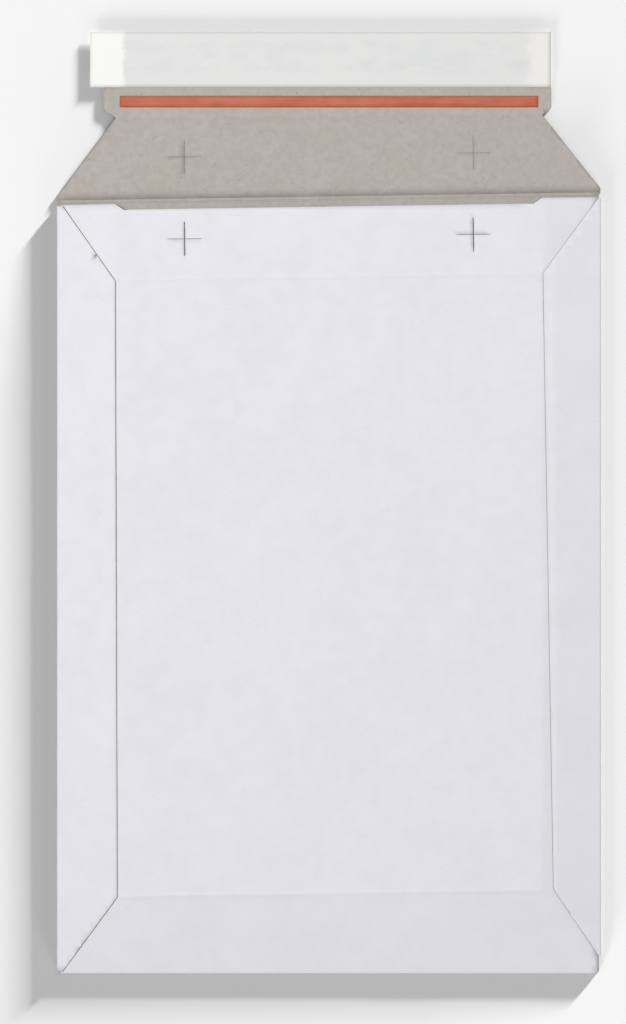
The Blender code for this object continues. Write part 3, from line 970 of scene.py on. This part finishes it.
@dataclass
class Pocket:
    """The folded pocket: back, bottom fold, raised front and the two side flaps glued on it."""

    sizes: Format
    bottom_y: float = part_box("pocket")[0].y
    fold_gap: float = 0.0005
    middle_gap: float = 0.0050
    mouth_gap: float = 0.0045
    sink: float = 0.0001
    edge_clearance: float = 0.0005
    setback: float = 0.0017
    top_strip: float = 0.0349
    bottom_strip: float = 0.0373
    notch_inset: float = 0.0313
    notch_depth: float = 0.0026
    notch_slope: float = 0.0037
    flap_low: tuple[float, float] = (0.0282, 0.0222)
    flap_high: tuple[float, float] = (0.0273, 0.0270)
    creases: tuple[float, float] = (0.0283, 0.0273)
    stop_low: tuple[float, float] = (0.0012, 0.0085)
    stop_high: float = 0.0004
    tips: tuple[float, float] = (0.0020, 0.0004)
    corner_spread: float = 0.0009
    slants: tuple[float, float] = (0.00042, 0.00015)
    cross_drop: float = 0.0181
    slits: tuple[float, float] = (0.00036, 0.00014)

    def __post_init__(self) -> None:
        """Works out the places that follow from the sizes."""
        s = self.sizes
        self.back_z = s.board / 2
        self.front_z = self.back_z + s.board + self.fold_gap
        self.flap_z = self.front_z + s.board - self.sink
        self.rise = self.middle_gap - self.fold_gap
        self.side_bend = (self.flap_z - self.back_z) / 2
        self.low_bend = (self.front_z - self.back_z) / 2
        self.side_x = s.width / 2 - self.side_bend - s.board / 2
        self.bend_y = self.bottom_y + self.low_bend + s.board / 2
        self.mouth_y = s.crease_y - self.setback
        self.top_y = self.mouth_y - self.top_strip
        self.low_y = self.bottom_y + self.bottom_strip
        self.crease_x = {
            side: side.value * (s.width / 2 - inset) for side, inset in zip(Side, self.creases)
        }

    def build(self) -> bpy.types.Object:
        """Folds and cuts the board, as a middle surface."""
        sheet = Sheet()
        self._back(sheet)
        for side in Side:
            self._side_flap(sheet, side)
        self._front(sheet)
        return sheet.finished("pocket_board", (Panel.FRONT, Panel.LEFT_FLAP, Panel.RIGHT_FLAP))

    def _back(self, sheet: Sheet) -> None:
        """Lays the back panel, up to where the closing crease bends."""
        s = self.sizes

        def place(across: float, along: float) -> tuple[float, float, float]:
            """A point of the back for two shares."""
            x = (2 * across - 1) * self.side_x
            top = s.leaned(s.crease_y - s.bend_half, x)
            return x, self.bend_y + along * (top - self.bend_y), self.back_z

        sheet.panel(Panel.BACK, 2 * self.side_x, self.mouth_y - self.bottom_y, s.pitch, place)

    def _side_flap(self, sheet: Sheet, side: Side) -> None:
        """Folds a side flap over and trims its mitres.

        Args:
            sheet: The sheet that it grows from.
            side: Which flap it is.
        """
        s, sign = self.sizes, side.value
        index = (sign + 1) // 2
        panel = (Panel.LEFT_FLAP, Panel.RIGHT_FLAP)[index]
        edge_x = sign * self.side_x
        low = self.bottom_y + self.stop_low[index]
        high = s.leaned(self.mouth_y, edge_x) - self.stop_high
        chain = sheet.rim(lambda co: abs(co.x - edge_x) < 1e-6)
        centre = Matrix.Translation((edge_x, 0, self.back_z + self.side_bend))
        turn = centre @ Matrix.Rotation(-sign * pi / FOLD_STEPS, 4, "Y") @ centre.inverted()
        chain = sheet.grow(chain, Panel.FOLD, [turn] * FOLD_STEPS)
        clear = min(self.flap_low[index], self.flap_high[index]) - 0.002 - s.width / 2 + self.side_x
        count = ceil(clear / s.pitch)
        slide = Matrix.Translation((-sign * clear / count, 0, 0))
        last = abs(self.flap_low[index] - self.flap_high[index]) + 0.004
        steps = [slide] * count + [Matrix.Translation((-sign * last, 0, 0))]
        sheet.grow(chain, panel, steps)
        for face in sheet.faces(Panel.FOLD):
            face[sheet.kind] = panel.value
        tip_x = sign * (self.side_x - self.tips[index])
        inner_low = (
            sign * (s.width / 2 - self.flap_low[index]),
            s.leaned(self.low_y, edge_x),
        )
        inner_high = (
            sign * (s.width / 2 - self.flap_high[index]),
            s.leaned(self.top_y, edge_x),
        )
        outer = sign * s.width
        corners = [
            (outer, low), (tip_x, low), inner_low, inner_high, (tip_x, high), (outer, high)
        ]
        if side is Side.LEFT:
            corners.reverse()
        for start, end in zip(corners, corners[1:]):
            sheet.trim(end, start, panel)

    def _front(self, sheet: Sheet) -> None:
        """Folds the front panel up from the bottom and cuts its creases, notch and crosses.

        Args:
            sheet: The sheet that it grows from.
        """
        s = self.sizes
        chain = sheet.rim(
            lambda co: abs(co.y - self.bend_y) < 1e-6 and abs(co.z - self.back_z) < 1e-6
        )
        centre = Matrix.Translation((0, self.bend_y, self.back_z + self.low_bend))
        turn = centre @ Matrix.Rotation(-pi / FOLD_STEPS, 4, "X") @ centre.inverted()
        chain = sheet.grow(chain, Panel.FRONT, [turn] * FOLD_STEPS)
        reach = s.leaned(self.mouth_y, self.side_x) - self.bend_y + 0.001
        count = ceil(reach / s.pitch)
        sheet.grow(chain, Panel.FRONT, [Matrix.Translation((0, reach / count, 0))] * count)
        half = self.side_x - self.edge_clearance
        far = s.width
        sheet.trim((-half, far), (-half, -far), Panel.FRONT)
        sheet.trim((half, -far), (half, far), Panel.FRONT)
        ears = [(x, s.leaned(self.mouth_y, x)) for x in (far, -far)]
        sheet.trim(*ears, Panel.FRONT)
        self._score_creases(sheet)
        inner = s.width / 2 - self.notch_inset
        notch = [
            (-inner, -self.notch_depth),
            (inner, -self.notch_depth),
            (inner + 2 * self.notch_slope, self.notch_depth),
            (-inner - 2 * self.notch_slope, self.notch_depth),
        ]
        outline = [Vector((x, s.leaned(self.mouth_y + y, x))) for x, y in notch]
        sheet.punch(outline, False, Panel.FRONT)
        for side in Side:
            x = side.value * s.cross_spacing / 2
            y = s.leaned(s.crease_y - self.cross_drop, x)
            sheet.cross(x, y, s.cross_arm, self.slits, s.lean, Panel.FRONT)

    def _score_creases(self, sheet: Sheet) -> None:
        """Cuts the lines that the front's rise and beads need.

        Args:
            sheet: The sheet with the front on it.
        """
        s = self.sizes
        for y in (self.low_y, self.top_y):
            for shift in CREASE_SHIFTS:
                ends = [(x, s.leaned(y + shift, x)) for x in (-s.width, s.width)]
                sheet.score(*ends, Panel.FRONT)
        for side in Side:
            x = self.crease_x[side]
            for shift in (-0.0010, 0.0, 0.0010):
                sheet.score((x + shift, -s.width), (x + shift, s.width), Panel.FRONT)
            low = (x, s.leaned(self.low_y, x))
            high = (x, s.leaned(self.top_y, x))
            share = (self.mouth_gap - self.fold_gap) / self.rise
            mouth_x = side.value * self.side_x + (x - side.value * self.side_x) * share
            sheet.score((side.value * self.side_x, self.bend_y), low, Panel.FRONT)
            sheet.score(high, (mouth_x, s.leaned(self.mouth_y, mouth_x)), Panel.FRONT)

    def shape(
        self,
        obj: bpy.types.Object,
        rise: Shaping,
        bead: Shaping,
        waves: Shaping,
        material: bpy.types.Material,
    ) -> None:
        """Raises the front, beads its creases and makes the board slightly uneven.

        Args:
            obj: The middle surface.
            rise: The tree that raises a panel.
            bead: The tree that beads a crease.
            waves: The tree that makes board uneven.
            material: The material that the trees set.
        """
        s = self.sizes
        rise.on(
            obj,
            material,
            rise=self.rise,
            mouth_share=(self.mouth_gap - self.fold_gap) / self.rise,
            side=self.side_x,
            left_crease=self.crease_x[Side.LEFT],
            right_crease=self.crease_x[Side.RIGHT],
            bend=self.bend_y,
            bottom_crease=self.low_y,
            top_crease=self.top_y,
            top_strip=self.top_strip,
            lean=tan(s.lean),
            rounding=0.03,
        )
        for line in (self.low_y, self.top_y):
            bead.on(
                obj,
                material,
                line=line,
                lean=tan(s.lean),
                height=0.00016,
                width=0.0014,
                left=self.crease_x[Side.LEFT],
                right=self.crease_x[Side.RIGHT],
            )
        waves.on(obj, material, height=0.00010, across=0.055, seed=3.0)
        settle(obj)

    def slant_edges(self, obj: bpy.types.Object) -> None:
        """Slants the side flaps' inner edges, as a die leaves them.

        Args:
            obj: The pocket's solid board.
        """
        bm = bmesh.new()
        bm.from_mesh(obj.data)
        for side, slant in zip(Side, self.slants):
            moved = set()
            for face in bm.faces:
                centre = face.calc_center_median()
                if face.material_index != Ply.EDGE.value or face.normal.x * side.value > -0.5:
                    continue
                if centre.z < self.flap_z or abs(centre.x) < 0.09 or side.value * centre.x < 0:
                    continue
                middle = centre.z
                moved |= {(v, tuple(face.normal)) for v in face.verts if v.co.z > middle}
            shifts = {}
            for vert, normal in moved:
                shifts.setdefault(vert, []).append(Vector(normal))
            for vert, normals in shifts.items():
                mean = sum(normals, Vector()) / len(normals)
                vert.co -= mean.normalized() * slant
        bm.to_mesh(obj.data)
        bm.free()


@dataclass
class ClosingFlap:
    """The closing flap with its lip and the tongue under the release paper."""

    sizes: Format
    root_inset: float = 0.0003
    root_side: float = 0.0026
    rise: float = 0.0374
    lip_inset: float = 0.0271
    lip_depth: float = 0.0136
    ears: tuple[float, float] = (0.0060, 0.0042)
    ear_slope: float = radians(30)
    ear_low: float = 0.0026
    ear_high: tuple[float, float] = (0.0035, 0.0010)
    tongue: tuple[float, float] = (0.0942, 0.0910)
    tongue_depth: float = 0.0241
    tongue_radius: float = 0.0030
    cross_rise: float = 0.0196
    slits: tuple[float, float] = (0.00008, 0.00003)

    def __post_init__(self) -> None:
        """Works out the places that follow from the sizes."""
        self.lip_y = self.sizes.crease_y + self.rise
        self.lip_end_y = self.lip_y + self.lip_depth
        self.end_y = self.lip_end_y + self.tongue_depth
        self.half_root = self.sizes.width / 2 - self.root_inset

    def outline(self) -> list[Vector]:
        """The flap's outline, anticlockwise from the right root corner."""
        s = self.sizes
        half_lip = s.width / 2 - self.lip_inset
        halves = []
        for side, ear, high, tongue in zip(Side, self.ears, self.ear_high, self.tongue):
            sign = side.value
            root_x, lip_x, ear_x = (
                sign * self.half_root,
                sign * half_lip,
                sign * (half_lip + ear),
            )
            root = s.leaned(s.crease_y + s.bend_half, root_x)
            lip = self.lip_y + lip_x * tan(s.lip_lean)
            halves.append(
                [
                    (root_x, root - 0.001, 0),
                    (root_x, root + self.root_side - s.bend_half, 0),
                    (lip_x, lip, 0),
                    (ear_x, lip + ear * tan(self.ear_slope), self.ear_low),
                    (ear_x, self.lip_end_y, high),
                    (sign * tongue, self.lip_end_y, 0),
                    (sign * tongue, self.end_y, self.tongue_radius),
                ]
            )
        left, right = halves
        return rounded(right + left[::-1])

    def build(self) -> bpy.types.Object:
        """Cuts the flap, as a middle surface."""
        s = self.sizes
        sheet = Sheet()

        def place(across: float, along: float) -> tuple[float, float, float]:
            """A point of the flap for two shares."""
            x = (2 * across - 1) * (self.half_root + 0.001)
            low = s.leaned(s.crease_y + s.bend_half, x)
            return x, low + along * (self.end_y + 0.001 - low), s.board / 2

        sheet.panel(Panel.CLOSING, s.width, self.end_y - s.crease_y, s.pitch, place)
        for shift in CREASE_SHIFTS:
            ends = [(x, self.lip_y + shift + x * tan(s.lip_lean)) for x in (-s.width, s.width)]
            sheet.score(*ends, Panel.CLOSING)
        sheet.punch(self.outline(), True, Panel.CLOSING)
        for side in Side:
            x = side.value * s.cross_spacing / 2
            y = s.leaned(s.crease_y + self.cross_rise, x)
            sheet.cross(x, y, s.cross_arm, self.slits, s.lean, Panel.CLOSING)
        return sheet.finished("flap_board", (Panel.CLOSING,))

    def shape(
        self,
        obj: bpy.types.Object,
        bead: Shaping,
        waves: Shaping,
        material: bpy.types.Material,
    ) -> None:
        """Beads the lip's crease and makes the board slightly uneven.

        Args:
            obj: The middle surface.
            bead: The tree that beads a crease.
            waves: The tree that makes board uneven.
            material: The material that the trees set.
        """
        bead.on(
            obj,
            material,
            line=self.lip_y,
            lean=tan(self.sizes.lip_lean),
            height=0.00018,
            width=0.0014,
            left=-self.half_root,
            right=self.half_root,
        )
        waves.on(obj, material, height=0.00004, across=0.030, seed=8.0)
        settle(obj)


@dataclass(frozen=True)
class Strewn:
    """Flecks of one kind in the grey board."""

    name: str
    density: float
    length: float
    width: float
    seed: float

    def build(
        self, board: bpy.types.Object, strew: Shaping, material: bpy.types.Material
    ) -> bpy.types.Object:
        """Strews the flecks over the board's inner face.

        Args:
            board: The solid board.
            strew: The tree that strews flecks.
            material: The flecks' material.

        Returns:
            The flecks as one object.
        """
        obj = bpy.data.objects.new(self.name, board.data.copy())
        bpy.context.scene.collection.objects.link(obj)
        strew.on(
            obj,
            material,
            density=self.density,
            seed=self.seed,
            length=self.length,
            width=self.width,
            height=0.00003,
        )
        settle(obj)
        return obj


@dataclass
class ClosingCrease:
    """The strip of board that bends where the flap closes."""

    sizes: Format
    pocket: Pocket
    flap: ClosingFlap
    rows: int = 12

    def build(self) -> bpy.types.Object:
        """Lays the strip, as a middle surface."""
        s = self.sizes
        sheet = Sheet()

        def place(across: float, along: float) -> tuple[float, float, float]:
            """A point of the strip for two shares."""
            half = self.pocket.side_x + along * (self.flap.half_root - self.pocket.side_x)
            x = (2 * across - 1) * half
            y = s.crease_y + (2 * along - 1) * s.bend_half
            return x, s.leaned(y, x), s.board / 2

        sheet.panel(Panel.CLOSING, s.width, self.rows * s.pitch, s.pitch, place)
        return sheet.finished("closing_crease_board", (Panel.CLOSING,))


@dataclass
class Film:
    """A thin strip on the flap: a sheet of one material."""

    name: str
    left: float
    right: float
    low: float
    high: float
    base: float
    thickness: float
    corner: float

    def build(self, material: bpy.types.Material) -> bpy.types.Object:
        """Cuts the strip and gives it its thickness.

        Args:
            material: The strip's material.

        Returns:
            The strip.
        """
        sheet = Sheet()

        def place(across: float, along: float) -> tuple[float, float, float]:
            """A point of the strip for two shares."""
            x = self.left + across * (self.right - self.left)
            y = self.low + along * (self.high - self.low)
            return x, y, self.base + self.thickness / 2

        pitch = 0.002
        sheet.panel(Panel.CLOSING, self.right - self.left, self.high - self.low, pitch, place)
        corners = [
            (self.left, self.low, self.corner),
            (self.right, self.low, self.corner),
            (self.right, self.high, self.corner),
            (self.left, self.high, self.corner),
        ]
        if self.corner:
            sheet.punch(rounded(corners, 3), True, Panel.CLOSING)
        obj = sheet.finished(self.name, (Panel.CLOSING,), lowest_faces_down=False)
        thicken(obj, self.thickness, [material] * 3)
        return obj


# Studio


@dataclass
class Studio:
    """Floor, lamps, surroundings and camera."""

    centre: tuple[float, float] = (-0.00735, -0.0042)
    frame_height: float = 0.4706
    distance: float = 3.0
    floor_lamps: tuple[tuple[float, float, float, float], ...] = (
        (49.9, 5.2, 3.4, 19.9),
        (244.7, 3.2, 12.5, 9.1),
        (294.6, 2.7, 10.5, 4.0),
    )

    def camera(self) -> None:
        """Looks straight down on the mailer through a long lens."""
        data = bpy.data.cameras.new("camera")
        data.sensor_fit = "VERTICAL"
        data.sensor_height = 36
        data.lens = 36 * self.distance / self.frame_height
        data.clip_end = 50
        camera = bpy.data.objects.new("camera", data)
        camera.location = (*self.centre, self.distance)
        bpy.context.scene.collection.objects.link(camera)
        bpy.context.scene.camera = camera

    def floor(self) -> bpy.types.Object:
        """Lays a plain white floor."""
        bm = bmesh.new()
        bmesh.ops.create_grid(bm, x_segments=1, y_segments=1, size=6)
        mesh = bpy.data.meshes.new("floor")
        bm.to_mesh(mesh)
        bm.free()
        floor = bpy.data.objects.new("floor", mesh)
        floor.location.z = -0.00005
        bpy.context.scene.collection.objects.link(floor)
        material = bpy.data.materials.new("floor")
        material.use_nodes = True
        shader = material.node_tree.nodes["Principled BSDF"]
        shader.inputs["Base Color"].default_value = (0.8, 0.8, 0.8, 1)
        shader.inputs["Roughness"].default_value = 1
        shader.inputs["Specular IOR Level"].default_value = 0
        mesh.materials.append(material)
        return floor

    def lamp(
        self, name: str, kind: str, place: Sequence[float], energy: float, size: float
    ) -> bpy.types.Object:
        """Hangs a lamp that points at the mailer.

        Args:
            name: The lamp's name.
            kind: AREA or SUN.
            place: Where it hangs.
            energy: Its strength.
            size: Its width in metres, or a sun's angle.

        Returns:
            The lamp.
        """
        data = bpy.data.lights.new(name, kind)
        data.energy = energy
        if kind == "AREA":
            data.shape = "DISK"
            data.size = size
        else:
            data.angle = size
        lamp = bpy.data.objects.new(name, data)
        lamp.location = place
        lamp.rotation_euler = (-Vector(place)).to_track_quat("-Z", "Y").to_euler()
        bpy.context.scene.collection.objects.link(lamp)
        return lamp

    def surroundings(self, strength: float) -> None:
        """Surrounds the mailer with even light, seen as white.

        Args:
            strength: How much of it lights the mailer.
        """
        world = bpy.data.worlds.new("studio")
        bpy.context.scene.world = world
        world.use_nodes = True
        tree = world.node_tree
        shader = tree.nodes["Background"]
        shader.inputs["Color"].default_value = (1, 1, 1, 1)
        path = tree.nodes.new("ShaderNodeLightPath")
        seen = Field(tree, path.outputs["Is Camera Ray"])
        for name in ("Is Glossy Ray", "Is Transmission Ray"):
            seen = seen.math("MAXIMUM", Field(tree, path.outputs[name]))
        plug(tree, seen * (1.0 - strength) + strength, shader.inputs["Strength"])

    def light(self, floor: bpy.types.Object, mailer: Sequence[bpy.types.Object]) -> None:
        """Sets the lamps.

        Args:
            floor: The floor, which has low lamps of its own that shade it round the mailer.
            mailer: The mailer's pieces, which have the overhead lamp.
        """
        self.surroundings(0.35)
        above = self.lamp("overhead", "AREA", (-0.45, 0.50, 2.0), 29.0, 1.4)
        link(above, "mailer_only", mailer)
        for number, (azimuth, height, width, energy) in enumerate(self.floor_lamps):
            turn, rise = radians(azimuth), radians(height)
            place = (cos(turn) * cos(rise), sin(turn) * cos(rise), sin(rise))
            low = self.lamp(f"floor_{number}", "SUN", place, energy, radians(width))
            link(low, low.name + "_only", [floor])


def link(lamp: bpy.types.Object, name: str, objects: Iterable[bpy.types.Object]) -> None:
    """Keeps a lamp's light for some objects.

    Args:
        lamp: The lamp.
        name: The name of the collection that holds them.
        objects: The objects that it lights.
    """
    lit = bpy.data.collections.new(name)
    for obj in objects:
        lit.objects.link(obj)
    lamp.light_linking.receiver_collection = lit


def main() -> None:
    """Builds the mailer's look."""
    sizes = Format()
    white, grey, edge = WhiteBoard().make(), GreyBoard().make(), CutEdge().make()
    plies = [white, grey, edge]
    rise, bead, waves = panel_rise(), crease_bead(), board_waves()
    strew = fleck_scatter()

    pocket = Pocket(sizes)
    pocket_board = pocket.build()
    pocket.shape(pocket_board, rise, bead, waves, white)
    thicken(pocket_board, sizes.board, plies)
    pocket.slant_edges(pocket_board)
    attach(pocket_board, "pocket_body")
    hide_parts("pocket")
    log.info("%s: %d faces", pocket_board.name, len(pocket_board.data.polygons))

    flap = ClosingFlap(sizes)
    flap_board = flap.build()
    flap.shape(flap_board, bead, waves, white)
    thicken(flap_board, sizes.board, plies)
    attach(flap_board, "flap_body")
    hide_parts("closing_flap")
    log.info("%s: %d faces", flap_board.name, len(flap_board.data.polygons))

    crease = ClosingCrease(sizes, pocket, flap).build()
    thicken(crease, sizes.board, plies)
    along = Vector((-sin(sizes.lean), cos(sizes.lean), 0)) * sizes.bend_half
    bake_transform(crease)
    log.info("%s: %d faces", crease.name, len(crease.data.polygons))

    mailer = [pocket_board, flap_board, crease]
    ink = Fleck("ink_fleck", linear(112, 104, 96), linear(88, 84, 92)).make()
    straw = Fleck("pale_fibre", linear(206, 202, 194), linear(198, 192, 178)).make()
    dust = Fleck("dull_fibre", linear(166, 158, 146), linear(158, 152, 148)).make()
    for strewn, material in (
        (Strewn("ink_flecks", 2600, 0.0007, 0.0004, 4), ink),
        (Strewn("pale_fibres", 9000, 0.0024, 0.00016, 11), straw),
        (Strewn("dull_fibres", 9000, 0.0018, 0.00018, 23), dust),
    ):
        obj = strewn.build(flap_board, strew, material)
        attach(obj, "flap_body")
        mailer.append(obj)
        log.info("%s: %d faces", obj.name, len(obj.data.polygons))

    films = [
        (
            Film("tear_tape_film", -0.0962, 0.0962, 0.1817, 0.1871, 0.00062, 0.0001, 0.0006),
            TearFilm().make(),
            "tear_tape",
        ),
        (
            Film("adhesive_film", -0.0930, 0.0898, 0.19325, 0.21325, 0.00062, 0.0001, 0.0),
            Adhesive().make(),
            "adhesive_strip",
        ),
        (
            Film("liner_paper", -0.1098, 0.1020, 0.1909, 0.2164, 0.00075, 0.0001, 0.0),
            ReleasePaper().make(),
            "release_liner",
        ),
    ]
    for film, material, node in films:
        obj = film.build(material)
        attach(obj, "flap_body")
        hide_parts(node)
        mailer.append(obj)
        log.info("%s: %d faces", obj.name, len(obj.data.polygons))

    studio = Studio()
    studio.camera()
    studio.light(studio.floor(), mailer)
    bpy.context.scene.view_settings.view_transform = "Standard"


if __name__ == "__main__":
    logging.basicConfig(level=logging.INFO, format="%(message)s")
    main()
